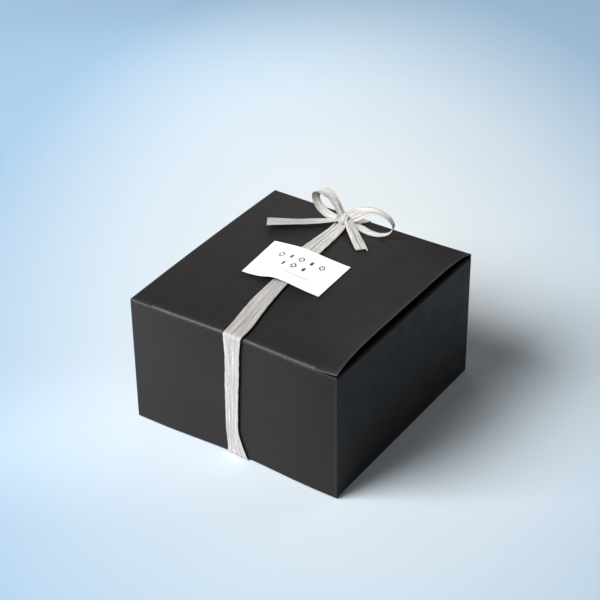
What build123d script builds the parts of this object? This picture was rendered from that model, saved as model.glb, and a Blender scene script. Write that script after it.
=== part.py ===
"""Tuck-top gift box of folded paperboard, tied with a flat paper ribbon and carrying a small card.

Millimetres, +Z up. The origin is on the supporting surface, under the middle of the box.
The lid's tuck flap goes in behind the front wall (-Y), and the lid folds along the back wall (+Y).
"""

from build123d import *
import os

# Carton
BOX_WIDTH = 203.0
BOX_DEPTH = 212.0
LID_TOP = 122.0  # top of the closed lid at its left and back edges
BOARD = 0.8  # paperboard thickness
SIDE_CREASE = 120.4  # top crease of the side walls, where the dust flaps fold in
FRONT_WALL_TOP = 120.7

# Clearances
GAP = 0.3  # between pieces that move on each other
CREASE_GAP = 0.3  # between two panels that share a fold

# Lid: how far its surface stands above LID_TOP at the front, middle and back of five depthwise
# lines, evenly spaced from the left edge to the right one
LID_RISE = (
    (0.0, 1.4, 0.0),
    (0.0, 1.2, 0.0),
    (0.0, 1.2, 0.0),
    (0.6, 3.0, 0.3),
    (2.6, 8.8, 1.2),
)

# Tuck flap, between the two slits of the lid's front crease
SLIT = 21.0  # from the lid's side edge to the flap
TUCK_LENGTH = 30.0
TUCK_LEAN = 4.6  # degrees inwards from upright, so that the tip clears the front wall as the lid lifts
TUCK_CORNER = 18.0
TUCK_OFFSET = 0.5  # from the front wall's inner face

# Dust flaps
FLAP_DEPTH = 50.0
FLAP_SHOULDER = 17.0  # part that reaches forward beside the tuck flap
FLAP_FRONT_EDGE = -71.5  # Y of the main front edge, behind the tuck flap's swing
FLAP_REAR_SLANT = 56.0  # the slanted rear edge leaves this much of the back open at full depth
FLAP_REAR_START = 4.0
FLAP_ROOT = 3.0
FLAP_CORNER = 6.0
DROOP = {"left": 2.5, "right": 6.0}  # degrees below level

# Corner tabs, folded in from the side walls and glued behind the front and back walls
TAB_WIDTH = 18.0
TAB_MARGIN = 3.0  # above the bottom panel and below the side crease
TAB_TAPER = 6.0
GLUE = 0.15
GLUE_MARGIN = 3.0

# Ribbon
RIBBON = 0.4  # thickness of the flat paper strip
BOW_STRIP = 0.5  # thickness where the strip is folded double in the bow
RIBBON_RISE = 1.4  # how much the top run arches with the lid
RIBBON_LIFT = 0.45  # top run above LID_TOP at its ends
BACK_WIDTH = 15.0
BACK_NARROW = 8.0
BOW_DEPTH = 9.0

# Card
CARD_WIDTH = 78.0
CARD_HEIGHT = 52.0
CARD_THICKNESS = 0.4
CARD_YAW = 2.0
CARD_CENTRE = (-11.0, 6.0)
CARD_EDGE_LEFT = 124.0  # underside heights along the card
CARD_RIDGE = 127.6
CARD_EDGE_RIGHT = 125.0

# Worked out
HALF_W = BOX_WIDTH / 2
HALF_D = BOX_DEPTH / 2
FLOOR = RIBBON + GAP  # underside of the bottom panel, which stands on the ribbon
KNOT_LOW = (-22.0, 82.0, 123.45)
KNOT_HIGH = (-9.0, 93.0, 133.0)
BOW_Y = (KNOT_LOW[1] + KNOT_HIGH[1]) / 2


def block(low, high):
    """A box from its lowest to its highest corner."""
    size = [b - a for a, b in zip(low, high)]
    middle = [(a + b) / 2 for a, b in zip(low, high)]
    return Pos(*middle) * Box(*size)


def plate(outline, z, thickness):
    """A closed plan outline of (x, y) points as a plate from z upwards."""
    face = make_face(Polyline(*[(x, y, z) for x, y in outline], close=True))
    return extrude(face, thickness, dir=(0, 0, 1))


def band(points, thickness, width, across):
    """A strip of the given thickness along a smooth line through 3-D points in one plane.

    across is the direction of the strip's width, square to that plane, and the line is its middle."""
    line = Spline(*points)
    across = Vector(*across).normalized()
    steps = 6 * (len(points) - 1)
    sides = ([], [])
    for i in range(steps + 1):
        middle = line @ (i / steps)
        out = (line % (i / steps)).cross(across).normalized() * (thickness / 2)
        sides[0].append(middle + out)
        sides[1].append(middle - out)
    upper, lower = Spline(*sides[0]), Spline(*sides[1])
    ends = [Line(lower @ k, upper @ k) for k in (0, 1)]
    face = make_face([upper, ends[1], lower, ends[0]])
    start = face.moved(Location(across * (-width / 2)))
    return extrude(start, width, dir=across)


# ---------------------------------------------------------------- carton


def bottom_panel():
    return block(
        (-HALF_W + BOARD, -HALF_D + BOARD, FLOOR),
        (HALF_W - BOARD, HALF_D - BOARD, FLOOR + BOARD),
    )


def front_wall():
    return block((-HALF_W, -HALF_D, FLOOR), (HALF_W, -HALF_D + BOARD, FRONT_WALL_TOP))


def back_wall():
    top = LID_TOP - BOARD - CREASE_GAP
    return block((-HALF_W, HALF_D - BOARD, FLOOR), (HALF_W, HALF_D, top))


def side_wall(side):
    """side is -1 for the left wall and 1 for the right one."""
    inner, outer = sorted((side * (HALF_W - BOARD), side * HALF_W))
    top = SIDE_CREASE - BOARD - CREASE_GAP
    return block((inner, -HALF_D + BOARD, FLOOR), (outer, HALF_D - BOARD, top))


def corner_tab(side, end):
    """A tab that continues the side wall behind the front (end -1) or back (end 1) wall."""
    root = side * (HALF_W - BOARD)
    tip = root - side * TAB_WIDTH
    low, high = FLOOR + BOARD + TAB_MARGIN, SIDE_CREASE - BOARD - TAB_MARGIN
    near = end * (HALF_D - BOARD - GLUE)
    outline = [(root, low), (tip, low + TAB_TAPER), (tip, high - TAB_TAPER), (root, high)]
    face = make_face(Polyline(*[(x, near, z) for x, z in outline], close=True))
    return extrude(face, BOARD, dir=(0, -end, 0))


def corner_glue():
    """The four glue lines between the tabs and the front and back walls."""
    pads = []
    for side in (-1, 1):
        for end in (-1, 1):
            x = sorted(side * (HALF_W - BOARD - w) for w in (GLUE_MARGIN, TAB_WIDTH - GLUE_MARGIN))
            y = sorted(end * (HALF_D - BOARD - d) for d in (0, GLUE))
            z = (FLOOR + BOARD + 3 * GLUE_MARGIN, SIDE_CREASE - BOARD - 3 * GLUE_MARGIN)
            pads.append(block((x[0], y[0], z[0]), (x[1], y[1], z[1])))
    return Compound(children=pads)


def lid_panel():
    """The lid is pressed flat under the ribbon and lifts towards its right edge."""
    sections = []
    for i, rise in enumerate(LID_RISE):
        x = -HALF_W + BOX_WIDTH * i / (len(LID_RISE) - 1)
        top = [(x, y, LID_TOP + r) for y, r in zip((-HALF_D, 0, HALF_D), rise)]
        under = [(x, y, z - BOARD) for x, y, z in top]
        sections.append(
            make_face(
                [
                    ThreePointArc(*top),
                    Line(top[-1], under[-1]),
                    ThreePointArc(*reversed(under)),
                    Line(under[0], top[0]),
                ]
            )
        )
    return loft(sections)


TUCK_AXIS = (-HALF_D + 2 * BOARD + TUCK_OFFSET, LID_TOP - BOARD - CREASE_GAP)  # Y and Z


def tuck_flap():
    y, top = TUCK_AXIS
    half = HALF_W - SLIT
    flap = block((-half, y - BOARD, top - TUCK_LENGTH), (half, y, top))
    corners = flap.edges().filter_by(Axis.Y).group_by(Axis.Z)[0]
    flap = fillet(corners, TUCK_CORNER)
    return flap.rotate(Axis((0, y, top), (1, 0, 0)), TUCK_LEAN)


def dust_flap(side):
    """The right flap, tilted down about its crease, and mirrored for the left one."""
    root = HALF_W - CREASE_GAP
    tip = HALF_W - FLAP_DEPTH
    shoulder = HALF_W - FLAP_SHOULDER
    front = -HALF_D + BOARD + 2 * GAP
    rear_slant = HALF_D - FLAP_REAR_SLANT
    outline = [
        (root, front),
        (shoulder, front),
        (shoulder, FLAP_FRONT_EDGE),
        (tip, FLAP_FRONT_EDGE),
        (tip, rear_slant),
        (HALF_W - FLAP_ROOT, HALF_D - FLAP_REAR_START),
        (root, HALF_D - FLAP_REAR_START),
    ]
    flap = plate(outline, SIDE_CREASE - BOARD, BOARD)
    upright = flap.edges().filter_by(Axis.Z)
    rounded = [
        e
        for e in upright
        if e.center().X < shoulder + 1 and e.center().Y < rear_slant + 1
    ]
    flap = fillet(rounded, FLAP_CORNER)
    name = "right" if side > 0 else "left"
    flap = flap.rotate(Axis((HALF_W, 0, SIDE_CREASE), (0, 1, 0)), -DROOP[name])
    return flap if side > 0 else mirror(flap, Plane.YZ)


# ---------------------------------------------------------------- ribbon


def run_outline(stations):
    """A plan outline from (y, left x, right x) stations along a run."""
    left = [(a, y) for y, a, _ in stations]
    right = [(b, y) for y, _, b in stations]
    return left + right[::-1]


TOP_RUN_STATIONS = (
    (-HALF_D - GAP, -8.5, 9.7),
    (-50.0, -16.0, 1.5),
    (-17.0, -21.0, -3.2),
    (36.0, -25.5, -5.9),
    (72.0, -23.0, -8.5),
    (KNOT_LOW[1], -21.5, -9.5),
    (KNOT_HIGH[1], -18.0, -10.0),
    (HALF_D - 1.0, -8.0, -1.5),
)


def ribbon_top_run():
    low = LID_TOP + RIBBON_LIFT
    ends = HALF_D + GAP
    under = [(0, -ends, low), (0, 0, low + RIBBON_RISE), (0, ends, low)]
    over = [(x, y, z + RIBBON) for x, y, z in under]
    face = make_face(
        [
            ThreePointArc(*under),
            Line(under[-1], over[-1]),
            ThreePointArc(*reversed(over)),
            Line(over[0], under[0]),
        ]
    )
    arch = extrude(face, 2 * HALF_W, dir=(1, 0, 0), both=True)
    return arch & plate(run_outline(TOP_RUN_STATIONS), low - 1, RIBBON_RISE + 4)


def wall_run(outward, stations):
    """A run down the front (outward -1) or back (outward 1) wall, from (z, left x, right x) stations."""
    outline = run_outline(stations)
    y = outward * (HALF_D + GAP)
    face = make_face(Polyline(*[(x, y, z) for x, z in outline], close=True))
    return extrude(face, RIBBON, dir=(0, outward, 0))


def ribbon_front_run():
    stations = (
        (3 * RIBBON, -7.0, 13.5),
        (8.0, -6.5, 12.0),
        (30.0, -6.8, 9.0),
        (70.0, -7.0, 8.1),
        (105.0, -7.0, 9.6),
        (LID_TOP + RIBBON_LIFT + RIBBON, -8.5, 9.7),
    )
    return wall_run(-1, stations)


def ribbon_back_run():
    middle = (BACK_NARROW - BACK_WIDTH) / 2
    stations = (
        (0.0, -BACK_WIDTH / 2, BACK_WIDTH / 2),
        (60.0, -BACK_WIDTH / 2, BACK_WIDTH / 2),
        (100.0, middle - BACK_NARROW / 2 - 1, middle + BACK_NARROW / 2 + 1),
        (LID_TOP - 1.5, -8.0, -1.5),
    )
    return wall_run(1, stations)


def ribbon_bottom_run():
    stations = (
        (-HALF_D + 2.0, -6.5, 12.5),
        (-60.0, -6.0, 10.5),
        (HALF_D + GAP, -BACK_WIDTH / 2, BACK_WIDTH / 2),
    )
    return plate(run_outline(stations), 0, RIBBON)


def bow_knot():
    knot = block(KNOT_LOW, KNOT_HIGH)
    return fillet(knot.edges(), 3.0)


def bow_loop(points):
    line = [(x, BOW_Y, z) for x, z in points]
    return band(line, BOW_STRIP, BOW_DEPTH, (0, 1, 0)) - block(KNOT_LOW, KNOT_HIGH)


LEFT_LOOP = (
    (-20.0, 131.3),
    (-30.0, 142.0),
    (-42.0, 151.8),
    (-49.5, 145.0),
    (-42.0, 132.0),
    (-30.0, 127.9),
    (-20.0, 129.0),
)
RIGHT_LOOP = (
    (-11.0, 131.8),
    (0.0, 142.0),
    (12.0, 147.0),
    (26.0, 146.6),
    (36.5, 139.0),
    (32.0, 130.0),
    (17.0, 124.8),
    (2.0, 126.0),
    (-11.0, 129.6),
)


def bow_tail(start, end, heights, width):
    """A flat tail from start to end, (x, y) each, through evenly spaced heights."""
    count = len(heights) - 1
    line = [
        (
            start[0] + (end[0] - start[0]) * i / count,
            start[1] + (end[1] - start[1]) * i / count,
            z,
        )
        for i, z in enumerate(heights)
    ]
    across = (start[1] - end[1], end[0] - start[0], 0)
    return band(line, BOW_STRIP, width, across) - block(KNOT_LOW, KNOT_HIGH)


def greeting_card():
    """A card that lies over the ribbon and bends down to the lid on both sides of it."""
    half = CARD_WIDTH / 2
    line = [
        (-half, 0, CARD_EDGE_LEFT),
        (-half / 2, 0, (CARD_EDGE_LEFT + CARD_RIDGE) / 2 + 0.3),
        (-3.0, 0, CARD_RIDGE),
        (half / 2, 0, (CARD_EDGE_RIGHT + CARD_RIDGE) / 2 + 0.2),
        (half, 0, CARD_EDGE_RIGHT),
    ]
    line = [(x, y, z + CARD_THICKNESS / 2) for x, y, z in line]
    card = band(line, CARD_THICKNESS, CARD_HEIGHT, (0, 1, 0))
    return Pos(*CARD_CENTRE, 0) * Rot(0, 0, CARD_YAW) * card


# ---------------------------------------------------------------- sub-parts

parts = {
    "bottom_panel": bottom_panel(),
    "front_wall": front_wall(),
    "back_wall": back_wall(),
    "left_wall": side_wall(-1),
    "right_wall": side_wall(1),
    "corner_glue": corner_glue(),
    "lid_panel": lid_panel(),
    "tuck_flap": tuck_flap(),
    "dust_flap_left": dust_flap(-1),
    "dust_flap_right": dust_flap(1),
    "ribbon_bottom_run": ribbon_bottom_run(),
    "ribbon_back_run": ribbon_back_run(),
    "ribbon_top_run": ribbon_top_run(),
    "ribbon_front_run": ribbon_front_run(),
    "bow_knot": bow_knot(),
    "bow_loop_left": bow_loop(LEFT_LOOP),
    "bow_loop_right": bow_loop(RIGHT_LOOP),
    "bow_tail_left": bow_tail((-16.0, 88.0), (-71.5, 49.8), (126.4, 126.5, 125.8, 126.0), 10.0),
    "bow_tail_right": bow_tail((-17.0, 88.0), (20.5, 58.5), (124.7, 125.2, 124.9, 124.2), 11.0),
    "greeting_card": greeting_card(),
}
for side, side_name in ((-1, "left"), (1, "right")):
    for end, end_name in ((-1, "front"), (1, "back")):
        parts[f"{end_name}_{side_name}_tab"] = corner_tab(side, end)

os.makedirs("parts", exist_ok=True)
for node, solid in parts.items():
    export_step(solid, f"parts/{node}.step")
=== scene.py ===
"""Looks of the folded gift box: matt black carton, pleated paper ribbon with a bow, and a white card.

The object's lengths are in millimetres until a mesh is made; the camera, the lights and the floor are in
metres. A surface is a grid of points, rows by columns, and its outer side is the one that
(next row - this row) x (next column - this column) points to.
"""

import math

import bmesh
import bpy
import numpy as np
from mathutils import Matrix, Vector


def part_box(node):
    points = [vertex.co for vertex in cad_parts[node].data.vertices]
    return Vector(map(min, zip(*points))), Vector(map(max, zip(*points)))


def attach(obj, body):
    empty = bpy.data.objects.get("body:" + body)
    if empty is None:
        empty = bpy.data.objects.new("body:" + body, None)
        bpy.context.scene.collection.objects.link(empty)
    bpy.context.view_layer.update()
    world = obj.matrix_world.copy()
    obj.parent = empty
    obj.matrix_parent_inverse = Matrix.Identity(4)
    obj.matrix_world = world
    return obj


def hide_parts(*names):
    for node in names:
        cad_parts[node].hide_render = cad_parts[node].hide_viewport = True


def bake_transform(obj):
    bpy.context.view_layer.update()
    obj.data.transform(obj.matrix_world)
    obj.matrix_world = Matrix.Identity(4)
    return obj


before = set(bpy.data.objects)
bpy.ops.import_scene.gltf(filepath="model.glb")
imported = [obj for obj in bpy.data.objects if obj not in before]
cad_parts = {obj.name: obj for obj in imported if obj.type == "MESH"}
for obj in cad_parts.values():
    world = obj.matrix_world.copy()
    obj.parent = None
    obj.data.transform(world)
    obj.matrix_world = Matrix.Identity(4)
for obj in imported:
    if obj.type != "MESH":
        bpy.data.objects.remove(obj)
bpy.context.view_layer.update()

TO_METRES = 0.001


# ---------------------------------------------------------------- sizes, from the CAD frame


def box(node):
    """Lowest and highest corner of a CAD node, in millimetres."""
    low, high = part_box(node)
    return np.array(low) / TO_METRES, np.array(high) / TO_METRES


HALF_W = box("front_wall")[1][0]
HALF_D = box("back_wall")[1][1]
BOARD = box("bottom_panel")[1][2] - box("bottom_panel")[0][2]
FLOOR = box("bottom_panel")[0][2]
LID_TOP = box("lid_panel")[0][2] + BOARD
SIDE_CREASE = box("right_wall")[1][2] + BOARD + 0.3
TUCK_HALF = box("tuck_flap")[1][0]
TUCK_TIP = box("tuck_flap")[0][2]
FLAP_REACH = HALF_W - box("dust_flap_right")[0][0]

FOLD = 1.2  # outer radius of a fold in the board
TAB_FOLD = 1.1  # outer radius of the fold between a side wall and its tabs
SIDE_FOLD = 2.0  # outer radius of the softer crease between a side wall and its dust flap
WALL_TOP = LID_TOP - 0.95  # raw top edge of the front wall
BACK_TOP = LID_TOP - FOLD - 0.3  # where the back wall ends and the lid's bend begins
RIDGE = 1.0  # outer radius of the lid's front fold
RIDGE_BACK = BOARD + 0.1  # from the front wall's face back to the fold
GLUE = 0.15  # thickness of the glue

# How far the tied ribbon draws the front of the box inwards, and over what distance to each side
PULL_SPAN = 83.0
PULL_TOP = 2.0
PULL_BOTTOM = 3.0


# ---------------------------------------------------------------- camera and light, in metres


def unit(v):
    v = np.asarray(v, float)
    return v / np.linalg.norm(v, axis=-1, keepdims=True)


def make_camera():
    """A camera that looks along its azimuth and elevation, shifted right and up in its picture plane."""
    azimuth, elevation, roll = (math.radians(d) for d in (34.23, 33.92, -0.65))
    distance = 1.5899
    aim_right, aim_up = -0.00415, 0.08156
    ca, sa = math.cos(azimuth), math.sin(azimuth)
    ce, se = math.cos(elevation), math.sin(elevation)
    back = Vector((sa * ce, -ca * ce, se))
    level = Vector((ca, sa, 0))
    rise = back.cross(level)
    right = math.cos(roll) * level + math.sin(roll) * rise
    up = math.cos(roll) * rise - math.sin(roll) * level
    place = right * aim_right + up * aim_up + back * distance
    data = bpy.data.cameras.new("camera")
    data.lens = 108.6
    data.sensor_width = 36
    data.clip_end = 30
    camera = bpy.data.objects.new("camera", data)
    camera.matrix_world = Matrix.Translation(place) @ Matrix((right, up, back)).transposed().to_4x4()
    bpy.context.scene.collection.objects.link(camera)
    bpy.context.scene.camera = camera


def area_light(name, direction, distance, size, power, colour):
    """A square light that looks at the middle of the box from the given direction."""
    data = bpy.data.lights.new(name, "AREA")
    data.size = size
    data.energy = power
    data.color = colour
    light = bpy.data.objects.new(name, data)
    direction = Vector(direction).normalized()
    light.location = Vector((0, 0, 0.06)) + direction * distance
    light.rotation_euler = direction.to_track_quat("Z", "Y").to_euler()
    light.visible_camera = False
    bpy.context.scene.collection.objects.link(light)


def spot_light(name, aim, offset, cone, power, colour=(1.0, 1.0, 1.0)):
    """A small soft spot that looks at a place from the given offset, with the cone's angle in degrees."""
    data = bpy.data.lights.new(name, "SPOT")
    data.energy = power
    data.color = colour
    data.spot_size = math.radians(cone)
    data.spot_blend = 1.0
    data.shadow_soft_size = 0.05
    light = bpy.data.objects.new(name, data)
    offset = Vector(offset)
    light.location = Vector(aim) + offset
    light.rotation_euler = offset.to_track_quat("Z", "Y").to_euler()
    light.visible_camera = False
    bpy.context.scene.collection.objects.link(light)


def make_light():
    """A soft key from the front left, glows on the left and back, two spots on the bow, and a fill."""
    area_light("key", (-0.42, -0.59, 0.70), 4.2, 2.6, 292, (1.0, 0.98, 0.965))
    area_light("back glow", (-0.62, 0.70, 0.36), 0.75, 0.35, 0.46, (1.0, 0.99, 0.98))
    front_left = (-0.085, -0.106, 0.065)
    spot_light("left glow", front_left, (-0.31, -0.33, 0.05), 36, 9.5, (1.0, 0.84, 0.82))
    bow = (-0.008, 0.090, 0.130)
    spot_light("bow front spot", bow, (0.22, -0.38, 0.54), 10, 12)
    spot_light("bow rear spot", bow, (0.06, 0.26, 0.30), 16, 5)
    area_light("back fill", (0.45, 0.62, 0.95), 1.6, 0.8, 2.6, (1.0, 0.98, 0.96))
    world = bpy.data.worlds.new("studio")
    world.use_nodes = True
    sky = world.node_tree.nodes["Background"]
    sky.inputs["Color"].default_value = (0.90, 0.95, 1.0, 1)
    sky.inputs["Strength"].default_value = 0.06
    bpy.context.scene.world = world
    bpy.context.scene.view_settings.view_transform = "Standard"


# ---------------------------------------------------------------- materials


class Shader:
    """A small helper that adds nodes to one material and links them."""

    def __init__(self, name, roughness, specular=0.5):
        self.material = bpy.data.materials.new(name)
        self.material.use_nodes = True
        self.tree = self.material.node_tree
        self.surface = self.tree.nodes["Principled BSDF"]
        self.surface.inputs["Roughness"].default_value = roughness
        self.surface.inputs["Specular IOR Level"].default_value = specular

    def node(self, kind, **inputs):
        made = self.tree.nodes.new(kind)
        for key, value in inputs.items():
            self.put(value, made.inputs[key.replace("_", " ")])
        return made

    def put(self, value, socket):
        """Links an output to a socket, or sets the socket to a plain value."""
        if isinstance(value, bpy.types.NodeSocket):
            self.tree.links.new(value, socket)
        else:
            socket.default_value = value

    def uv(self, scale):
        place = self.node("ShaderNodeTexCoord")
        stretch = self.node("ShaderNodeMapping", Vector=place.outputs["UV"], Scale=scale)
        return stretch.outputs["Vector"]

    def noise(self, scale, detail=3.0, roughness=0.55):
        """Fractal noise over the UV map; scale is in cycles per metre along and across."""
        texture = self.node(
            "ShaderNodeTexNoise", Vector=self.uv((*scale, 1)), Scale=1.0, Detail=detail, Roughness=roughness
        )
        return texture.outputs["Fac"]

    def attribute(self, name):
        read = self.tree.nodes.new("ShaderNodeAttribute")
        read.attribute_name = name
        return read.outputs["Fac"]

    def remap(self, value, low, high, to_low, to_high):
        made = self.node("ShaderNodeMapRange", Value=value)
        for key, number in (("From Min", low), ("From Max", high), ("To Min", to_low), ("To Max", to_high)):
            made.inputs[key].default_value = number
        return made.outputs["Result"]

    def math(self, operation, a, b):
        made = self.tree.nodes.new("ShaderNodeMath")
        made.operation = operation
        self.put(a, made.inputs[0])
        self.put(b, made.inputs[1])
        return made.outputs["Value"]

    def vector(self, operation, a, b=(0, 0, 0)):
        made = self.tree.nodes.new("ShaderNodeVectorMath")
        made.operation = operation
        self.put(a, made.inputs[0])
        self.put(b, made.inputs[1])
        return made.outputs

    def ramp(self, value, stops):
        """stops are (position, linear colour)."""
        made = self.node("ShaderNodeValToRGB", Fac=value)
        elements = made.color_ramp.elements
        while len(elements) < len(stops):
            elements.new(0.5)
        for element, (position, colour) in zip(elements, stops):
            element.position = position
            element.color = (*colour, 1)
        return made.outputs["Color"]

    def mix(self, factor, a, b):
        made = self.tree.nodes.new("ShaderNodeMix")
        made.data_type = "RGBA"
        self.put(factor, made.inputs["Factor"])
        self.put(a if isinstance(a, bpy.types.NodeSocket) else (*a, 1), made.inputs["A"])
        self.put(b if isinstance(b, bpy.types.NodeSocket) else (*b, 1), made.inputs["B"])
        return next(o for o in made.outputs if o.type == "RGBA")

    def colour(self, value):
        self.put(value, self.surface.inputs["Base Color"])

    def roughness(self, value):
        self.put(value, self.surface.inputs["Roughness"])

    def bump(self, height, distance, strength=1.0):
        below = self.surface.inputs["Normal"].links
        made = self.node("ShaderNodeBump", Height=height, Distance=distance, Strength=strength)
        if below:
            self.put(below[0].from_socket, made.inputs["Normal"])
        self.put(made.outputs["Normal"], self.surface.inputs["Normal"])


def coated_board():
    """The black coated side: faint blotches, fine tooth, grey wear along folds and edges, and a painted
    highlight along the lid's front fold and the front wall's top edge.
    """
    s = Shader("coated black board", 0.5, 0.20)
    blotch = s.noise((14, 14), 4)
    tooth = s.noise((2600, 2600), 2)
    black = s.ramp(blotch, ((0.3, (0.0126, 0.0108, 0.0106)), (0.7, (0.0164, 0.0142, 0.0140))))
    # grey scuffs along folds and edges, and a painted highlight along the lid's front fold and the front
    # wall's top edge
    scuffs_and_painted_highlight = s.math("MULTIPLY", s.attribute("wear_and_painted_shading"), s.remap(s.noise((260, 900), 3), 0.3, 0.62, 0.35, 1.0))
    grain = s.mix(s.remap(tooth, 0.35, 0.7, 0.0, 0.35), black, (0.026, 0.0245, 0.0248))
    s.colour(s.mix(scuffs_and_painted_highlight, grain, (0.15, 0.148, 0.146)))
    s.roughness(s.remap(s.noise((60, 60), 3), 0.3, 0.7, 0.48, 0.58))
    s.bump(s.noise((420, 420), 3), 0.00003, 0.5)
    s.bump(tooth, 0.00002, 0.5)
    return s.material


def raw_board():
    """The uncoated inner side of the same black board."""
    s = Shader("uncoated black board", 0.75, 0.35)
    fibre = s.noise((1500, 500), 4)
    plain = s.ramp(fibre, ((0.3, (0.020, 0.0196, 0.0192)), (0.7, (0.034, 0.0333, 0.0326))))
    # grey wear, and the painted highlight of the front fold, lighten this side too
    s.colour(s.mix(s.attribute("wear_and_painted_shading"), plain, (0.12, 0.118, 0.115)))
    s.bump(fibre, 0.00006, 0.6)
    return s.material


def cut_board():
    """A cut edge: grey-black fibres in layers."""
    s = Shader("cut edge of board", 0.8, 0.3)
    fibre = s.noise((3000, 9000), 3)
    s.colour(s.ramp(fibre, ((0.3, (0.036, 0.0355, 0.035)), (0.7, (0.105, 0.103, 0.099)))))
    s.bump(fibre, 0.00008, 0.7)
    return s.material


def raffia():
    """Paper raffia: light grey, streaked along the strip, with random dark crease streaks, fine pale
    fibres, and painted shade in its deep creases and along its edges.
    """
    s = Shader("paper raffia", 0.55, 0.3)
    streak = s.noise((26, 620), 5, 0.65)
    crease = s.noise((9, 330), 2, 0.5)
    fibre = s.noise((420, 3800), 3, 0.6)
    cloud = s.noise((430, 900), 4, 0.7)
    base = s.ramp(
        streak,
        (
            (0.36, (0.22, 0.217, 0.212)),
            (0.45, (0.395, 0.390, 0.381)),
            (0.55, (0.51, 0.503, 0.492)),
            (0.66, (0.645, 0.636, 0.622)),
        ),
    )
    mottled = s.mix(s.remap(cloud, 0.45, 0.60, 0.0, 0.72), base, (0.31, 0.308, 0.303))
    creased = s.mix(s.remap(crease, 0.58, 0.66, 0.0, 0.45), mottled, (0.17, 0.168, 0.165))
    pale = s.mix(s.remap(fibre, 0.5, 0.68, 0.0, 0.5), creased, (0.74, 0.735, 0.725))
    # painted shade: darker in the deep creases and along the strip's edges
    s.colour(s.mix(s.math("MULTIPLY", s.attribute("wear_and_painted_shading"), 0.75), pale, (0.10, 0.099, 0.097)))
    s.roughness(s.remap(streak, 0.3, 0.7, 0.62, 0.45))
    s.bump(streak, 0.00025, 0.7)
    s.bump(fibre, 0.00008, 0.7)
    return s.material


def card_paper():
    s = Shader("white card", 0.55, 0.4)
    tooth = s.noise((1800, 1800), 3)
    s.colour(s.ramp(tooth, ((0.3, (0.93, 0.93, 0.93)), (0.7, (0.97, 0.97, 0.97)))))
    s.bump(tooth, 0.00003, 0.4)
    return s.material


def printed_ink():
    s = Shader("grey print", 0.5, 0.4)
    patchy = s.noise((2400, 2400), 2)
    s.colour(s.ramp(patchy, ((0.3, (0.030, 0.031, 0.033)), (0.7, (0.075, 0.076, 0.08)))))
    return s.material


def dried_glue():
    s = Shader("dried glue", 0.35, 0.5)
    cloudy = s.noise((500, 500), 3)
    s.colour(s.ramp(cloudy, ((0.3, (0.55, 0.49, 0.36)), (0.7, (0.74, 0.69, 0.56)))))
    s.bump(cloudy, 0.0001, 0.5)
    return s.material


def floor_paint():
    """Pale blue paint that deepens in an oval away from the middle."""
    s = Shader("pale backdrop", 0.9, 0.05)
    place = s.node("ShaderNodeTexCoord").outputs["Object"]
    turned = s.node("ShaderNodeVectorRotate", Vector=place, Angle=math.radians(-34))
    oval = s.vector("MULTIPLY", turned.outputs["Vector"], (1, 0.56, 1))["Vector"]
    centred = s.vector("ADD", oval, (-0.05, -0.10, 0))["Vector"]
    away = s.vector("LENGTH", centred)["Value"]
    share = s.remap(away, 0.1, 0.40, 0.0, 1.0)
    near, middle, far = (0.70, 0.76, 0.80), (0.58, 0.69, 0.78), (0.35, 0.52, 0.70)
    s.colour(s.ramp(share, ((0.0, near), (0.45, middle), (1.0, far))))
    return s.material


# ---------------------------------------------------------------- meshes from grids


def normals(grid):
    down = np.gradient(grid, axis=0)
    along = np.gradient(grid, axis=1)
    return unit(np.cross(down, along))


def lengths(grid, axis):
    """Distance along one axis of a grid, from its first row or column."""
    steps = np.linalg.norm(np.diff(grid, axis=axis), axis=2)
    start = np.zeros_like(np.take(steps, [0], axis=axis))
    return np.concatenate([start, np.cumsum(steps, axis=axis)], axis=axis)


def edge_distance(grid):
    """How far each grid point is from the nearest edge of the sheet."""
    nearest = np.full(grid.shape[:2], np.inf)
    for axis in (0, 1):
        run = lengths(grid, axis)
        total = np.take(run, [-1], axis=axis)
        nearest = np.minimum(nearest, np.minimum(run, total - run))
    return nearest


def sheet(grid, thickness, wear_and_painted_shading=0.0, uv=None):
    """A closed thin sheet, whose outer side is the grid: its points, faces, face kinds, UV, and wear and
    painted shading.

    Face kinds are 0 outer, 1 inner and 2 rim. The wear and painted shading, from 0 to 1 at each grid point,
    is the grey wear of the board with a painted highlight along the lid's front fold and the front wall's
    top edge, and, on the ribbon, painted shade in its creases and along its edges."""
    rows, columns = grid.shape[:2]
    count = rows * columns
    inner = grid - thickness * normals(grid)
    index = np.arange(count).reshape(rows, columns)
    outer = np.stack([index[:-1, :-1], index[1:, :-1], index[1:, 1:], index[:-1, 1:]], -1).reshape(-1, 4)
    ring = np.concatenate([index[:-1, 0], index[-1, :-1], index[:0:-1, -1], index[0, :0:-1]])
    following = np.roll(ring, -1)
    rim = np.stack([following, ring, ring + count, following + count], -1)
    if uv is None:
        uv = np.stack([lengths(grid, 0), lengths(grid, 1)], -1)
    wear_and_painted_shading = np.broadcast_to(wear_and_painted_shading, (rows, columns)).reshape(-1)
    return {
        "points": np.concatenate([grid.reshape(-1, 3), inner.reshape(-1, 3)]),
        "faces": np.concatenate([outer, outer[:, ::-1] + count, rim]),
        "kinds": np.repeat([0, 1, 2], [len(outer), len(outer), len(rim)]),
        "uv": np.concatenate([uv.reshape(-1, 2), uv.reshape(-1, 2)]),
        "wear_and_painted_shading": np.concatenate([wear_and_painted_shading, wear_and_painted_shading]),
    }


UV_SHIFT = 31.0  # from one sheet of a piece to the next, so that their textures differ


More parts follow.
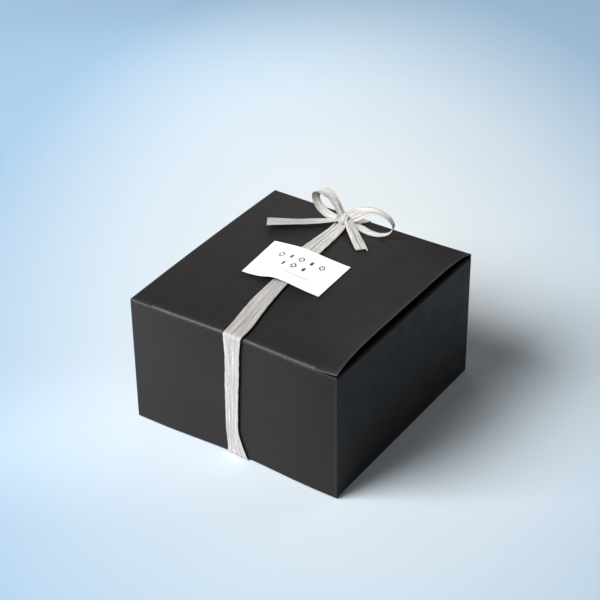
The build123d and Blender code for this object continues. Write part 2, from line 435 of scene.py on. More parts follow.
def piece(name, sheets, materials):
    """One object made of closed sheets, with smooth shading and sharp rims."""
    start, points, faces = 0, [], []
    for k, part in enumerate(sheets):
        points.append(part["points"])
        faces.append(part["faces"] + start)
        part["uv"] = part["uv"] + UV_SHIFT * k
        start += len(part["points"])
    mesh = bpy.data.meshes.new(name)
    mesh.from_pydata((np.concatenate(points) * TO_METRES).tolist(), [], np.concatenate(faces).tolist())
    kinds = np.concatenate([part["kinds"] for part in sheets])
    mesh.polygons.foreach_set("material_index", np.minimum(kinds, len(materials) - 1).astype(np.int32))
    mesh.polygons.foreach_set("use_smooth", np.ones(len(kinds), bool))
    corners = np.empty(len(mesh.loops), np.int32)
    mesh.loops.foreach_get("vertex_index", corners)
    uv = np.concatenate([part["uv"] for part in sheets])[corners] * TO_METRES
    mesh.uv_layers.new(name="UVMap").data.foreach_set("uv", uv.astype(np.float32).reshape(-1))
    # per point: the board's wear and painted highlight, and the ribbon's painted shade in creases and along
    # edges
    wear_and_painted_shading = mesh.attributes.new("wear_and_painted_shading", "FLOAT", "POINT")
    wear_and_painted_shading.data.foreach_set("value", np.concatenate([part["wear_and_painted_shading"] for part in sheets]).astype(np.float32))
    for material in materials:
        mesh.materials.append(material)
    edit = bmesh.new()
    edit.from_mesh(mesh)
    edit.faces.ensure_lookup_table()
    for edge in edit.edges:
        edge.smooth = bool(kinds[edge.link_faces[0].index] == kinds[edge.link_faces[1].index])
    edit.to_mesh(mesh)
    edit.free()
    made = bpy.data.objects.new(name, mesh)
    bpy.context.scene.collection.objects.link(made)
    return made


# ---------------------------------------------------------------- lines and profiles


def smoothstep(t):
    t = np.clip(t, 0, 1)
    return t * t * (3 - 2 * t)


def arc(centre, radius, start, end, count=7):
    """Points of an arc in a plane, angles in degrees."""
    a = np.radians(np.linspace(start, end, count))
    return np.stack([centre[0] + radius * np.cos(a), centre[1] + radius * np.sin(a)], -1)


def spaced(start, end, step, ends=(0.0, 0.3, 0.9, 2.2)):
    """Positions from start to end, closer together near both ends."""
    total = abs(end - start)
    ends = np.array(ends)
    middle = np.linspace(ends[-1], total - ends[-1], max(2, round((total - 2 * ends[-1]) / step) + 1))
    run = np.concatenate([ends[:-1], middle, total - ends[-2::-1]])
    return start + math.copysign(1, end - start) * run


def smooth_line(t, keys, values):
    """Values at t on a smooth line through the values at the keys."""
    keys = np.asarray(keys, float)
    values = np.asarray(values, float)
    columns = values.reshape(len(keys), -1)
    slope = np.gradient(columns, keys, axis=0)
    i = np.clip(np.searchsorted(keys, t, side="right") - 1, 0, len(keys) - 2)
    gap = (keys[i + 1] - keys[i])[:, None]
    u = (t - keys[i])[:, None] / gap
    found = (
        (2 * u**3 - 3 * u**2 + 1) * columns[i]
        + (u**3 - 2 * u**2 + u) * slope[i] * gap
        + (3 * u**2 - 2 * u**3) * columns[i + 1]
        + (u**3 - u**2) * slope[i + 1] * gap
    )
    return found.reshape(len(t), *values.shape[1:])


def distances(points):
    """Distance of each point from the first one, along the line through them."""
    return np.r_[0, np.cumsum(np.linalg.norm(np.diff(points, axis=0), axis=1))]


def spread(points, step):
    """Keys at the points and evenly spaced places on the smooth line through them, and their distances."""
    points = np.asarray(points, float)
    keys = distances(points)
    fine = np.linspace(0, keys[-1], 3000)
    run = distances(smooth_line(fine, keys, points))
    even = np.linspace(0, run[-1], int(run[-1] / step) + 2)
    return keys, np.interp(even, run, fine), even


def wander(s, rng, scale):
    """A smooth random line along s, between about -1 and 1."""
    total = 0
    for _ in range(3):
        size = rng.uniform(0.5, 1)
        length = scale * rng.uniform(0.5, 1.5)
        total = total + size * np.sin(s / length + rng.uniform(0, 6.3))
    return total / 2


# ---------------------------------------------------------------- carton


def pull(x, z):
    """How far the ribbon has drawn the front of the box inwards at this place."""
    wave = 0.5 * (1 + np.cos(np.pi * np.clip(np.asarray(x) / PULL_SPAN, -1, 1)))
    return wave * (PULL_BOTTOM + (PULL_TOP - PULL_BOTTOM) * np.asarray(z) / LID_TOP)


def grid_of(x, y, z):
    x, y, z = np.broadcast_arrays(x, y, z)
    return np.stack([x, y, z], -1).astype(float)


def wear_on(grid, edge=0.5, fade=0.5):
    """Light wear along the raw edges of a panel."""
    return edge * np.exp(-edge_distance(grid) / fade)


def wall_profile(top):
    """Outward distance and height from the bottom fold up to the wall's top."""
    bend = arc((-FOLD, FLOOR + FOLD), FOLD, -90, 0)
    upright = spaced(FLOOR + FOLD, top, 6.0)[1:]
    rise = np.stack([np.zeros_like(upright), upright], -1)
    return np.concatenate([bend, rise])


def front_wall():
    profile = wall_profile(WALL_TOP)
    x = spaced(-HALF_W, HALF_W, 4.0)[:, None]
    z = profile[:, 1][None]
    y = -HALF_D - profile[:, 0][None] + pull(x, z)
    grid = grid_of(x, y, z)
    # lighter along the top edge: wear and a painted highlight
    top_wear_and_painted_highlight = 0.15 * np.exp(-(WALL_TOP - z) / 0.35)
    return grid, np.clip(wear_on(grid, 0.2) + top_wear_and_painted_highlight, 0, 1)


def back_wall():
    profile = wall_profile(BACK_TOP)
    x = spaced(HALF_W, -HALF_W, 6.0)[:, None]
    grid = grid_of(x, HALF_D + profile[:, 0][None], profile[:, 1][None])
    return grid, wear_on(grid, 0.25)


WALL_END = HALF_D - BOARD - GLUE - TAB_FOLD  # where the corner fold of a side wall starts
FLAP_GAP = 0.2  # straight part of a dust flap below its crease
FLAP_START = SIDE_CREASE - SIDE_FOLD - FLAP_GAP  # where a side wall ends and its dust flap starts


def side_wall():
    """The right wall; the left one is its mirror image."""
    profile = wall_profile(FLAP_START)
    y = spaced(-WALL_END, WALL_END, 6.0)[:, None]
    grid = grid_of(HALF_W + profile[:, 0][None], y, profile[:, 1][None])
    return grid, wear_on(grid, 0.15)


def mirrored(grid, wear_and_painted_shading, side, end=1):
    """A grid for the left (side -1) or back (end flipped) from the right front one."""
    grid = grid * np.array([side, end, 1])
    if side * end < 0:
        grid, wear_and_painted_shading = grid[::-1], wear_and_painted_shading[::-1]
    return grid, wear_and_painted_shading


TAB_REACH = 18.8  # from the side wall's face to a tab's tip
TAB_ROOT = 2.5  # length of the part next to the fold, before the tab's shoulder
ROOT_MARGIN = 1.5  # from the wall's bottom and top to the root's edges
TAB_MARGIN = (3.6, 9.6)  # from the wall's bottom and top to the tab's edges, at its shoulder and its tip


def corner_tab():
    """The right wall's front tab, folded in behind the front wall."""
    run = spaced(HALF_W - TAB_REACH, HALF_W - TAB_FOLD, 2.5)
    face = -(HALF_D - BOARD - GLUE)
    straight = np.stack([run, np.full_like(run, face)], -1)
    bend = arc((HALF_W - TAB_FOLD, face + TAB_FOLD), TAB_FOLD, -90, 0)[1:]
    path = np.concatenate([straight, bend])
    depth = HALF_W - path[:, 0]
    tapered = np.interp(depth, (TAB_ROOT, TAB_REACH), TAB_MARGIN)
    margin = np.where(depth < TAB_ROOT, ROOT_MARGIN, tapered)
    low = FLOOR + margin
    high = SIDE_CREASE - margin
    up = spaced(0, 1, 0.06, (0, 0.003, 0.01, 0.02))[None]
    z = low[:, None] + (high - low)[:, None] * up
    grid = grid_of(path[:, 0][:, None], path[:, 1][:, None], z)
    return grid, wear_on(grid, 0.2)


def bottom_panel():
    edge = HALF_D - FOLD
    x = spaced(-HALF_W + FOLD, HALF_W - FOLD, 5.0)[None]
    y = spaced(0, 1, 0.03, (0, 0.002, 0.006, 0.012))[:, None]
    front = -edge + pull(x, 0)
    grid = grid_of(x, front + (edge - front) * y, FLOOR)
    return grid, wear_on(grid, 0.1)


def lid_height(x, y):
    """The lid's outer surface: flat under the ribbon, lifting towards its free right edge.

    front, middle and back are its rises along those three lines, and droop is the curve between them."""
    t = np.clip(np.asarray(x, float) / HALF_W, 0, 1)
    slit = TUCK_HALF / HALF_W
    corner = np.clip((t - slit) / (1 - slit), 0, 1)
    front = 0.5 * (np.minimum(t, slit) / slit) ** 2 + 2.1 * corner**1.3
    middle = 1.2 + 8.3 * t**2.08
    back = 1.2 * t**2
    d = np.asarray(y, float) / HALF_D
    droop = np.abs(d) ** (2 + 4 * t**2)
    return LID_TOP + middle + (back - front) / 2 * d + ((front + back) / 2 - middle) * droop


LID_FRONT = -HALF_D + RIDGE_BACK + RIDGE  # where the front fold starts
SLIT = 0.4  # width of the cut at each end of the front fold


def lid_panel():
    """The lid with its bend over the back wall. Past the slits it reaches to the front wall's face."""
    inside = spaced(-TUCK_HALF, TUCK_HALF, 3.5)
    outside = spaced(TUCK_HALF + SLIT, HALF_W, 2.0)
    x = np.concatenate([-outside[::-1], inside, outside])[:, None]
    front = np.where(np.abs(x) > TUCK_HALF + SLIT / 2, -HALF_D + 0.05, LID_FRONT + pull(x, LID_TOP))
    edge = HALF_D - FOLD
    along = spaced(0, 1, 0.022, (0, 0.0015, 0.0045, 0.01))[None]
    y = front + (edge - front) * along
    z = lid_height(x, y)
    flat = grid_of(x, y, z)
    bend = arc((0, 0), FOLD, 90, 0)[1:]
    top = z[:, -1:]
    back_y = edge + np.r_[bend[:, 0], FOLD][None]
    back_z = np.concatenate([top - FOLD + bend[:, 1][None], np.full_like(top, BACK_TOP)], 1)
    grid = np.concatenate([flat, grid_of(x, back_y, back_z)], 1)
    wear_and_painted_shading = wear_on(grid, 0.45, 0.6)
    wear_and_painted_shading[:, flat.shape[1] - 1 :] = 0.25  # the whole bend
    # paler along the front fold, stronger past the slits: wear and a painted highlight on the fold's ridge
    front_wear_and_painted_highlight = np.where(np.abs(x) < TUCK_HALF, 0.4, 0.7) * np.exp(-(grid[..., 1] - front) / 0.8)
    return grid, np.clip(wear_and_painted_shading + front_wear_and_painted_highlight, 0, 1)


def tuck_flap():
    """The flap behind the front wall and the fold that joins it to the lid, with wear and a painted
    highlight along that fold.

    It follows the lid's rise next to the fold and is level further down."""
    corner = 18.0
    rounded = np.linspace(0, corner, 9)
    top = LID_TOP - RIDGE - 0.4
    straight = np.linspace(TUCK_TIP + corner, top, 7)[1:]
    heights = np.concatenate([TUCK_TIP + rounded, straight])
    lean = math.tan(math.radians(4.6))
    flap = np.stack([-HALF_D + RIDGE_BACK + lean * (top - heights), heights], -1)
    ridge = arc((LID_FRONT, LID_TOP - RIDGE), RIDGE, 180, 90, 9)
    path = np.concatenate([flap, ridge])
    half = np.full(len(path), TUCK_HALF)
    half[: len(rounded)] = TUCK_HALF - corner + np.sqrt(corner**2 - (corner - rounded) ** 2)
    across = spaced(-1, 1, 0.045, (0, 0.004, 0.012, 0.03))[:, None]
    x = across * half[None]
    height = path[:, 1][None]
    near_fold = smoothstep((height - 112) / 9)
    z = height + (lid_height(x, -HALF_D) - LID_TOP) * near_fold
    grid = grid_of(x, path[:, 0][None] + pull(x, z), z)
    ridge_middle = len(path) - len(ridge) // 2 - 1
    # wear and a painted highlight along the middle of the front fold
    fold = np.exp(-(((np.arange(len(path)) - ridge_middle) / 3.0) ** 2))
    return grid, np.clip(wear_on(grid, 0.3) + 0.8 * fold[None], 0, 1)


FLAP_DEPTH = 50.0  # from a side wall's face to its dust flap's tip, along the flap
FLAP_ROUND = 6.0  # radius of its rounded corners
SHOULDER = 17.0  # depth at which its front edge steps back
SHOULDER_FRONT = -104.6  # y of the front edge before the step
MAIN_FRONT = -71.5  # y of the front edge after the step


def flap_front(depth):
    """Y of the right dust flap's front edge at a depth from the wall's face."""
    radius = FLAP_ROUND
    if depth <= SHOULDER - radius:
        return SHOULDER_FRONT
    if depth <= SHOULDER:
        return SHOULDER_FRONT + radius - math.sqrt(radius**2 - (depth - SHOULDER + radius) ** 2)
    if depth < SHOULDER + radius:
        return MAIN_FRONT - radius + math.sqrt(radius**2 - (SHOULDER + radius - depth) ** 2)
    if depth <= FLAP_REACH - radius:
        return MAIN_FRONT
    return MAIN_FRONT + radius - math.sqrt(max(0, radius**2 - (depth - FLAP_REACH + radius) ** 2))


def flap_depths():
    """Depths of the dust flap's rows past its crease, closer together round its corners."""
    step_start, step_end = SHOULDER - FLAP_ROUND, SHOULDER + FLAP_ROUND
    tip_start = FLAP_DEPTH - FLAP_ROUND
    return np.concatenate(
        [
            np.linspace(SIDE_FOLD + 0.6, step_start, 4),
            np.linspace(step_start, SHOULDER, 7)[1:],
            [SHOULDER + 0.05],
            np.linspace(SHOULDER + 0.4, step_end, 7),
            np.linspace(step_end, tip_start, 8)[1:],
            tip_start + FLAP_ROUND * np.sin(np.radians(np.linspace(0, 90, 8)[1:])),
        ]
    )


def dust_flap(droop):
    """The right dust flap with its crease, tilted down by droop degrees, and its UV."""
    bend = arc((0, 0), SIDE_FOLD, 0, 90 + droop, 9)
    bend = np.concatenate([[[SIDE_FOLD, -FLAP_GAP]], bend])
    reach = flap_depths()
    slope = np.radians(90 + droop)
    flat = bend[-1] + (reach - SIDE_FOLD)[:, None] * np.array([-np.sin(slope), np.cos(slope)])
    path = np.concatenate([bend, flat])
    path = path + [HALF_W - SIDE_FOLD, SIDE_CREASE - SIDE_FOLD]
    depths = np.concatenate([np.zeros(len(bend)), reach])
    front = np.array([flap_front(depth) for depth in depths])
    rear = np.interp(depths, [3, FLAP_REACH], [HALF_D - 4, HALF_D - 56])
    along = spaced(0, 1, 0.03, (0, 0.0016, 0.005, 0.012))[:, None]
    y = front[None] + (rear - front)[None] * along
    grid = grid_of(path[:, 0][None], y, path[:, 1][None])
    uv = np.stack([y, np.broadcast_to(depths[None], y.shape)], -1)
    return grid, wear_on(grid, 0.25), uv


def glue_lines():
    """Four flattened lines of glue between the tabs and the front and back walls."""
    rng = np.random.default_rng(7)
    z = np.linspace(11, 110, 60)[None]
    across = np.linspace(-1, 1, 5)[:, None]
    lines = []
    for side in (-1, 1):
        for end in (1, -1):
            middle = HALF_W - 10 + 0.8 * wander(z, rng, 9)
            half = 4.2 + 1.1 * wander(z, rng, 5)
            grid = grid_of(middle + across * half, BOARD - HALF_D, z)
            lines.append(sheet(mirrored(grid, grid, side, end)[0], GLUE))
    return lines


def panel(skin, name, node, grid, wear_and_painted_shading, uv=None):
    """One panel of the carton: its outer side coated, its inner side raw and its rim cut."""
    made = piece(name, [sheet(grid, BOARD, wear_and_painted_shading, uv)], skin)
    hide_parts(node)
    return made


def make_tray(skin):
    tray = [
        panel(skin, "carton_bottom", "bottom_panel", *bottom_panel()),
        panel(skin, "carton_front", "front_wall", *front_wall()),
        panel(skin, "carton_back", "back_wall", *back_wall()),
        panel(skin, "carton_right", "right_wall", *side_wall()),
        panel(skin, "carton_left", "left_wall", *mirrored(*side_wall(), -1)),
    ]
    for side, side_name in ((-1, "left"), (1, "right")):
        for end, end_name in ((1, "front"), (-1, "back")):
            name = f"{end_name}_{side_name}_tab"
            tray.append(panel(skin, f"carton_{name}", name, *mirrored(*corner_tab(), side, end)))
    for made in tray:
        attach(made, "base")


def make_lid(skin):
    """The lid, which bends over the back wall, and the tuck flap, which bends at the lid's front."""
    lid = panel(skin, "carton_lid", "lid_panel", *lid_panel())
    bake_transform(lid)
    tuck = panel(skin, "carton_tuck_flap", "tuck_flap", *tuck_flap())
    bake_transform(tuck)


def make_dust_flaps(skin):
    for side, name, droop in ((1, "right", 6.0), (-1, "left", 2.5)):
        grid, wear_and_painted_shading, uv = dust_flap(droop)
        grid, wear_and_painted_shading = mirrored(grid, wear_and_painted_shading, side)
        uv = uv[::-1] if side < 0 else uv
        flap = panel(skin, f"carton_dust_flap_{name}", f"dust_flap_{name}", grid, wear_and_painted_shading, uv)
        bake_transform(flap)


def make_carton():
    skin = (coated_board(), raw_board(), cut_board())
    make_tray(skin)
    make_lid(skin)
    make_dust_flaps(skin)
    glue = piece("carton_glue", glue_lines(), (dried_glue(),))
    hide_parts("corner_glue")
    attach(glue, "base")


# ---------------------------------------------------------------- ribbon

STRIP = 0.22  # thickness of the ribbon's paper


def crushed(s, q, seed, creases, depth, uneven):
    """Heights of lengthwise creases that wander along a strip of crushed paper.

    uneven is a power: the higher it is, the more the gaps between the creases differ."""
    rng = np.random.default_rng(seed)
    gaps = rng.uniform(0.5, 1.6, creases - 1) ** uneven
    places = np.r_[0, np.cumsum(gaps) / gaps.sum()][None].repeat(len(s), 0)
    heights = np.zeros_like(places)
    for k in range(creases):
        if 0 < k < creases - 1:
            places[:, k] += 0.3 * wander(s, rng, 14) / creases
        level = rng.uniform(0.55, 1.0) if k % 2 else rng.uniform(0.0, 0.45)
        level = level + 0.30 * wander(s, rng, 12) + 0.12 * wander(s, rng, 3.5)
        heights[:, k] = depth * np.clip(level, 0, 1.3)
    places = np.sort(places, 1)
    found = np.stack([np.interp(q, places[i], heights[i]) for i in range(len(s))])
    for _ in range(3):
        padded = np.pad(found, ((0, 0), (1, 1)), "edge")
        found = (padded[:, :-2] + 2 * padded[:, 1:-1] + padded[:, 2:]) / 4
    return found


def cross_section(s, seed, creases=8, depth=0.4, uneven=1.0, tuck=0.0, lap=None, columns=49):
    """Place across the strip (0 to 1) and height of each grid point.

    tuck is the share of the shown width that is folded under at the right edge; lap is (place, height)
    of a part that is folded over on top."""
    q = np.linspace(0, 1, columns)
    height = crushed(s, q, seed, creases, depth, uneven)
    turn = 1 / (1 + tuck)
    across = np.where(q < turn, q / turn, 1 - (q - turn) * (1 + tuck))
    under = smoothstep((q - turn) / 0.03)[None]
    drop = 0.35 + 0.45 * np.max(depth)
    height = height * (1 - 0.6 * under) - drop * under
    if lap:
        place, rise = lap
        height = height + rise * smoothstep((q - place) / 0.05)[None] * (1 - under)
    rng = np.random.default_rng(seed + 100)
    edges = 0.012 * wander(s, rng, 5)[:, None] + 0.008 * wander(s, rng, 2.2)[:, None]
    return across[None] + edges, height


def strip_between(left, right, s, seed, **section):
    """The grid of a strip between its left and right edges, as seen on its outer side going along it."""
    span = right - left
    tangent = unit(np.gradient((left + right) / 2, axis=0))
    normal = unit(np.cross(unit(span), tangent))
    across, height = cross_section(s, seed, **section)
    grid = left[:, None] + span[:, None] * across[..., None] + normal[:, None] * height[..., None]
    return grid[::-1]


def strip_along(keys, seed, reference=(0, 1, 0), **section):
    """The grid and the length of a strip along keys of x, y, z, width and twist about its line in degrees.

    With no twist, the strip's width lies along the reference direction."""
    keys = np.asarray(keys, float)
    stations, t, s = spread(keys[:, :3], 0.7)
    values = smooth_line(t, stations, keys)
    centre = values[:, :3]
    twist = np.radians(values[:, 4])[:, None]
    tangent = unit(np.gradient(centre, axis=0))
    flat = np.array(reference, float) - (tangent @ np.array(reference, float))[:, None] * tangent
    flat = unit(flat)
    across = np.cos(twist) * flat + np.sin(twist) * np.cross(tangent, flat)
    half = across * values[:, 3:4] / 2
    return strip_between(centre - half, centre + half, s, seed, **section), s[-1]


# Left and right edge (x) of the ribbon's upper run, at heights (z) up the front, at places (y) along the
# lid, and in the knot
FRONT_EDGES = (
    (0.9, -8.4, 12.9),
    (8.0, -8.4, 9.8),
    (24.0, -9.2, 4.9),
    (50.0, -9.1, 4.7),
    (75.0, -8.5, 6.4),
    (105.0, -7.6, 8.0),
)
TOP_EDGES = (
    (-106.0, -8.5, 9.7),
    (-50.0, -16.0, 1.5),
    (-17.0, -18.2, -3.0),
    (36.0, -25.5, -5.9),
    (72.0, -23.0, -8.5),
    (82.0, -21.5, -9.5),
)
KNOT_EDGES = (-20.5, -10.5)
LIFT = 0.3  # underside of the ribbon's creases above the board
EDGE_LIFT = 1.2  # how much further the upper run's right edge stands off


def upper_line():
    """Places (y, z) up the front wall, over the fold and along the lid into the knot."""
    low, middle, high = (-HALF_D + pull(0, z) - LIFT for z in (0, 60, 120))
    ridge = -HALF_D + pull(0, LID_TOP)
    line = [
        (low, 0.9),
        (low - 0.05, 8),
        (middle, 60),
        (high + 0.05, 105),
        (high, WALL_TOP - 1),
        (ridge - 0.25, LID_TOP - 0.6),
        (ridge + 0.35, LID_TOP + 0.3),
        (ridge + 1.6, LID_TOP + 0.5),
    ]
    for y in (-95, -75, -50, -17, 15, 36, 55, 68):
        line.append((y, float(lid_height(-12, y)) + LIFT + 0.1))
    line += [(76, LID_TOP + 1.5), (82, LID_TOP + 3.6), (86, LID_TOP + 4.6)]
    return np.array(line, float)


def nearest(values, target, allowed):
    """Index of the allowed value that is nearest to the target."""
    return np.argmin(np.where(allowed, np.abs(values - target), np.inf))


def upper_edges(y, z, run):
    """Left and right edge (x) of the upper run at each distance along it."""
    stations = []
    for height, left, right in FRONT_EDGES:
        stations.append((run[nearest(z, height, y <= -100)], left, right))
    for place, left, right in TOP_EDGES:
        stations.append((run[nearest(y, place, z >= LID_TOP - 1)], left, right))
    stations.append((run[-1] + 0.1, *KNOT_EDGES))
    stations = np.array(stations)
    return smooth_line(run, stations[:, 0], stations[:, 1:]).T


def upper_run():
    """From the front bottom edge into the knot. Its creases deepen from 66 to 21 mm before its end."""
    line = upper_line()
    keys, t = spread(line, 1.0)[:2]
    y, z = smooth_line(t, keys, line).T
    run = distances(np.stack([y, z], -1))
    left, right = upper_edges(y, z, run)
    left = np.stack([left, y, z], -1)
    out = unit(np.cross((1, 0, 0), np.gradient(grid_of(0, y, z), axis=0)))
    right = np.stack([right, y, z], -1) + EDGE_LIFT * out
    gathered = 0.25 + 1.25 * smoothstep((run - run[-1] + 66) / 45)
    pleats = {"creases": 9, "depth": gathered, "uneven": 2.4, "lap": (0.72, 0.25), "columns": 61}
    return strip_between(left, right, run, 11, **pleats), run[-1]


def lower_run():
    """Under the box, up the back wall, over the back fold and into the knot, with no twist."""
    front = -HALF_D + pull(0, 0)
    out = HALF_D + LIFT
    keys = [
        (3.2, front + 0.2, 0.75, 20.0, 0),
        (3.1, front + 1.0, 0.45, 19.5, 0),
        (3.0, front + 3.0, 0.42, 19.0, 0),
        (2.2, -60, 0.42, 16.5, 0),
        (0.5, 0, 0.42, 15.5, 0),
        (0, 60, 0.42, 15.0, 0),
        (0, out - 7.0, 0.42, 15.0, 0),
        (0, out - 5.0, 0.42, 15.0, 0),
        (0, out - 3.0, 0.42, 15.0, 0),
        (0, out - 0.8, 0.60, 15.0, 0),
        (0, out, 1.6, 15.0, 0),
        (0, out, 4.0, 15.0, 0),
        (0, out, 60, 15.0, 0),
        (-2.4, out, 100, 11.5, 0),
        (-3.4, out, LID_TOP - 3.0, 8.8, 0),
        (-3.5, out - 0.1, LID_TOP - 0.6, 8.3, 0),
        (-3.6, out - 0.8, LID_TOP + 0.6, 8.2, 0),
        (-4.0, out - 2.6, LID_TOP + 0.8, 8.6, 0),
        (-6.2, 101.0, LID_TOP + 1.0, 9.0, 0),
        (-9.6, 95.5, LID_TOP + 1.7, 9.0, 0),
        (-13.6, 90.5, LID_TOP + 3.6, 8.0, 0),
    ]
    return strip_along(keys, 23, (-1, 0, 0), creases=8, depth=0.26)


KNOT = np.array((-15.5, 87.0, LID_TOP + 6.6))  # middle of the knot


def left_loop():
    """Out of the knot to the left, round, and back into it underneath."""
    keys = [
        (-14.0, 87.5, 129.6, 5.0, 0),
        (-18.0, 87.8, 133.4, 6.0, -20),
        (-24.0, 88.5, 142.0, 6.8, -38),
        (-30.6, 88.5, 148.9, 7.6, -30),
        (-37.8, 88.0, 150.8, 9.4, 0),
        (-43.2, 87.5, 147.6, 8.6, 30),
        (-44.7, 87.5, 141.8, 6.6, 44),
        (-42.2, 87.5, 135.6, 6.4, 44),
        (-36.4, 87.5, 130.6, 6.8, 36),
        (-28.0, 87.8, 127.8, 7.0, 24),
        (-20.0, 87.5, 128.4, 6.2, 6),
        (-14.0, 87.5, 129.2, 5.0, 0),
    ]
    return strip_along(keys, 31, creases=7, depth=0.6, tuck=1.1)


def right_loop():
    """Out of the knot to the right, with a wide upper limb, round, and back into it underneath."""
    keys = [
        (-17.0, 87.0, 128.8, 6.0, 50),
        (-11.0, 86.5, 131.6, 9.0, 75),
        (-4.0, 86.8, 137.0, 12.0, 72),
        (4.0, 87.5, 142.0, 10.8, 50),
        (13.0, 88.0, 145.6, 9.0, 18),
        (22.5, 88.0, 146.4, 8.0, 0),
        (30.5, 88.0, 143.2, 6.4, -4),
        (34.4, 88.0, 137.4, 5.0, -6),
        (31.4, 87.6, 130.4, 4.4, -8),
        (23.5, 87.0, 125.8, 5.2, -12),
        (12.0, 86.5, 124.4, 6.4, -14),
        (1.0, 86.5, 126.4, 7.5, -12),
        (-8.0, 87.0, 128.4, 6.0, -8),
        (-16.0, 87.5, 129.0, 5.0, 0),
    ]
    return strip_along(keys, 37, (0, -1, 0), creases=7, depth=0.6, tuck=0.85)


def long_tail():
    """Out of the knot to the left and forwards, close to the lid."""
    keys = [
        (-13.0, 88.5, 129.0, 6.0, 0),
        (-19.5, 85.0, 128.6, 9.0, 8),
        (-27.0, 79.8, 127.5, 10.8, 12),
        (-38.0, 72.0, 127.0, 12.2, 10),
        (-50.0, 63.5, 126.9, 13.8, 12),
        (-62.0, 55.8, 127.0, 15.2, 10),
        (-71.7, 49.6, 127.0, 16.2, 8),
    ]
    return strip_along(keys, 41, (-0.567, 0.824, 0), creases=7, depth=0.5, tuck=0.12)


def short_tail():
    """Out of the knot to the right and forwards, to a jagged torn end."""
    keys = [
        (-14.0, 87.0, 129.8, 6.0, 0),
        (-10.2, 84.0, 131.8, 7.6, 0),
        (-5.6, 80.4, 130.4, 8.6, 0),
        (0.0, 76.2, 128.0, 9.4, 0),
        (7.4, 70.2, 126.3, 10.3, 0),
        (14.8, 63.8, 125.3, 10.8, 0),
        (20.9, 58.3, 124.8, 10.6, 0),
    ]
    grid, length = strip_along(keys, 43, (-0.62, -0.78, 0), creases=6, depth=0.6, tuck=0.35)
    rng = np.random.default_rng(5)
    q = np.linspace(0, 1, grid.shape[1])
    point = 3.2 * np.exp(-(((q - 0.06) / 0.05) ** 2))
    jag = 0.7 * wander(q * 40, rng, 2.5) - 1.2 * q + point
    tangent = unit(grid[0] - grid[3])
    reach = smoothstep((7 - np.arange(len(grid))) / 6)[:, None, None]
    return grid + reach * jag[None, :, None] * tangent[None], length


def knot_wrap():
    """The strip that goes round the middle of the bow, on a slanted and slightly squared oval."""
    keys = []
    for degrees in np.linspace(-100, 268, 17):
        turn = math.radians(degrees)
        c, s = math.cos(turn), math.sin(turn)
        x = KNOT[0] + 1.4 + 1.6 * math.sin(turn + 0.6)
        y = KNOT[1] - 6.2 * math.copysign(abs(c) ** 0.8, c)
        z = KNOT[2] + 5.2 * math.copysign(abs(s) ** 0.8, s)
        keys.append((x, y, z, 6.8 + 0.8 * math.cos(2 * turn), 0))
    return strip_along(keys, 53, (1, 0, 0), creases=6, depth=1.3, tuck=0.7)


def knot_core():
    """The gathered strips inside the wrap, as one pleated bundle along X."""
    rng = np.random.default_rng(9)
    x = np.linspace(-7.5, 7.5, 26)[:, None]
    a = np.linspace(0, 2 * np.pi, 73)[None]
    size = 3.6 * np.sqrt(np.maximum(0.02, 1 - (x / 7.9) ** 2)) ** 0.7
    pleat = 1 + 0.10 * np.sin(9 * a + 0.5 * wander(x, rng, 3)) + 0.05 * np.sin(17 * a)
    y = KNOT[1] + 1.15 * size * pleat * np.cos(a)
    z = KNOT[2] - 0.3 + size * pleat * np.sin(a)
    return grid_of(KNOT[0] + x, y, z)[::-1]


DEEP_CREASE = 0.14  # depth at which a crease of the ribbon gets its full painted shade
EDGE_SHADE = 0.4  # painted shade along the ribbon's edges, as a share of a deep crease's
EDGE_FADE = 0.45  # distance over which that painted shade fades


def hollows(grid):
    """How far each point lies below its neighbours across the strip, from 0 to 1 in a deep crease."""
    reach = 3  # columns to each side
    padded = np.pad(grid, ((0, 0), (reach, reach), (0, 0)), "edge")
    around = (padded[:, : -2 * reach] + padded[:, 2 * reach :]) / 2
    depth = np.sum((around - grid) * normals(grid), axis=-1)
    return np.clip(depth / DEEP_CREASE, 0, 1)


def ribbon_strip(paper, name, made, nodes):
    grid, length = made
    # painted shade in the creases and along the edges
    shade = np.clip(hollows(grid) + EDGE_SHADE * np.exp(-edge_distance(grid) / EDGE_FADE), 0, 1)
    shown = piece(name, [sheet(grid, STRIP, shade)], (paper,))
    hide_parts(*nodes)
    return shown


def make_runs(paper):
    """The run that goes up with the lid, and the run that stays below and bends over the back crease."""
    nodes = ["ribbon_front_run", "ribbon_top_run"]
    upper = ribbon_strip(paper, "ribbon_front_and_top", upper_run(), nodes)
    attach(upper, "ribbon_upper")
    nodes = ["ribbon_bottom_run", "ribbon_back_run"]
    lower = ribbon_strip(paper, "ribbon_under_and_back", lower_run(), nodes)
    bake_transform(lower)


def make_bow(paper):
    strips = (
        ("bow_left_loop", left_loop(), "bow_loop_left", "bow_wrap"),
        ("bow_right_loop", right_loop(), "bow_loop_right", "bow_wrap"),
        ("bow_long_tail", long_tail(), "bow_tail_left", "bow_wrap"),
        ("bow_short_tail", short_tail(), "bow_tail_right", "bow_wrap"),
        ("bow_wrap", knot_wrap(), "bow_knot", "bow_core"),
    )
    for name, made, node, rests_on in strips:
        strip = ribbon_strip(paper, name, made, [node])
        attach(strip, "ribbon_upper")
    # painted shade over the whole bundle inside the wrap, 0.6 of a deep crease's
    bundle = sheet(knot_core(), thickness=0.4, wear_and_painted_shading=0.6)
    core = piece("bow_core", [bundle], (paper,))
    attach(core, "ribbon_upper")


def make_ribbon():
    paper = raffia()
    make_runs(paper)
    make_bow(paper)


# ---------------------------------------------------------------- card

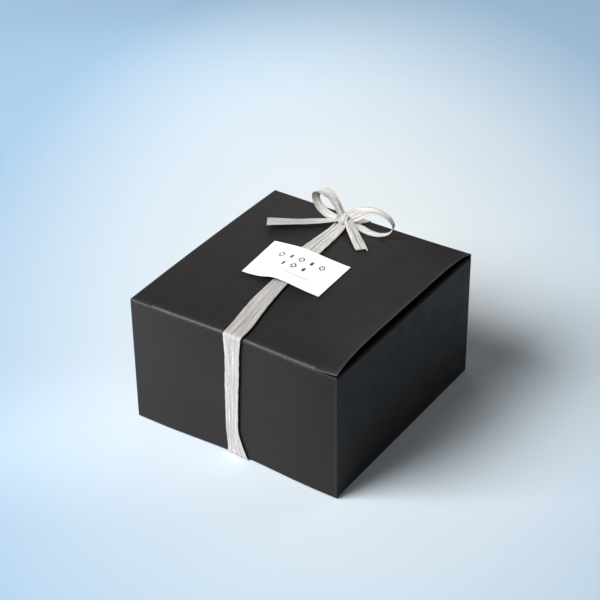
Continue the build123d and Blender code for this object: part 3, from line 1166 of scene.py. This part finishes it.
CARD_HALF = (37.8, 26.0)  # half of them as it lies, seen from above
CARD_CENTRE = (-9.4, 3.0)
CARD_YAW = math.radians(2.2)
CARD_THICKNESS = 0.35
INK_TOP = 0.05  # top of the print above the card
INK = 0.04  # thickness of the print
MARK = 3.3  # half height of a printed mark
MARK_STEP = 0.1315  # from mark to mark, as a share of the card's width


def card_surface(x, y):
    """Top of the card at places measured from its middle, along its width and height.

    keys are places along its width, at which front and back are the heights of its two long edges."""
    x, y = np.broadcast_arrays(np.asarray(x, float), np.asarray(y, float))
    keys = np.array([-38.0, -29.0, -18.0, -10.0, -4.5, 3.0, 14.0, 27.0, 38.0])
    front = np.array([124.7, 124.9, 126.4, 128.6, 129.3, 128.9, 127.4, 125.7, 124.7])
    back = np.array([126.6, 127.4, 128.3, 128.7, 128.5, 127.7, 126.5, 125.2, 124.4])
    flat = x.reshape(-1)
    share = (y.reshape(-1) + CARD_HALF[1]) / (2 * CARD_HALF[1])
    z = smooth_line(flat, keys, front) * (1 - share) + smooth_line(flat, keys, back) * share
    c, s = math.cos(CARD_YAW), math.sin(CARD_YAW)
    place_x = CARD_CENTRE[0] + c * x - s * y
    place_y = CARD_CENTRE[1] + s * x + c * y
    return grid_of(place_x, place_y, z.reshape(x.shape))


def card_grid():
    x = spaced(-CARD_HALF[0], CARD_HALF[0], 1.5)[:, None]
    y = spaced(-CARD_HALF[1], CARD_HALF[1], 2.5)[None]
    return card_surface(x, y)


def print_bar(start, end, width):
    """A straight printed stroke on the card."""
    start, end = np.array(start, float), np.array(end, float)
    t = np.linspace(0, 1, 6)[:, None]
    line = start + (end - start) * t
    side = np.array([-(end - start)[1], (end - start)[0]])
    side = side / np.linalg.norm(side) * width / 2
    spots = np.stack([line - side, line + side], 1)
    grid = card_surface(spots[..., 0], spots[..., 1])
    return sheet(grid + [0, 0, INK_TOP], INK)


def print_marks():
    """A plain ornament: diamonds and leaves in two rows over a dashed rule."""
    marks = []

    def diamond(x, y):
        corners = [(x, y + MARK), (x - 0.75 * MARK, y), (x, y - MARK), (x + 0.75 * MARK, y)]
        for a, b in zip(corners, corners[1:] + corners[:1]):
            marks.append(print_bar(a, b, 1.2))

    def leaf(x, y):
        for width in (0.8, 1.7, 2.6):
            marks.append(print_bar((x, y - MARK + width / 2), (x, y + MARK - width / 2), width))

    def place(across, down):
        """From shares of the card's width and height, measured from its back left corner."""
        return (2 * across - 1) * CARD_HALF[0], (1 - 2 * down) * CARD_HALF[1]

    for k in range(5):
        mark = leaf if k % 2 else diamond
        mark(*place(0.232 + MARK_STEP * k, 0.31))
    for k in range(3):
        mark = diamond if k % 2 else leaf
        mark(*place(0.347 + MARK_STEP * k, 0.535))
    start, height = place(0.447, 0.745)
    for k in range(11):
        dash = start + 2.1 * k
        marks.append(print_bar((dash, height), (dash + 1.4, height), 0.45))
    return marks


def make_card():
    card = piece("card", [sheet(card_grid(), CARD_THICKNESS)], (card_paper(),))
    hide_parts("greeting_card")
    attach(card, "card")
    ink = piece("card_print", print_marks(), (printed_ink(),))
    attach(ink, "card")


# ---------------------------------------------------------------- scene


def make_floor():
    """A large floor under the object, which isn't part of it."""
    mesh = bpy.data.meshes.new("floor")
    reach = 8.0
    corners = [(-reach, -reach, 0), (reach, -reach, 0), (reach, reach, 0), (-reach, reach, 0)]
    mesh.from_pydata(corners, [], [(0, 1, 2, 3)])
    mesh.materials.append(floor_paint())
    floor = bpy.data.objects.new("floor", mesh)
    bpy.context.scene.collection.objects.link(floor)


make_camera()
make_light()
make_floor()
make_carton()
make_ribbon()
make_card()
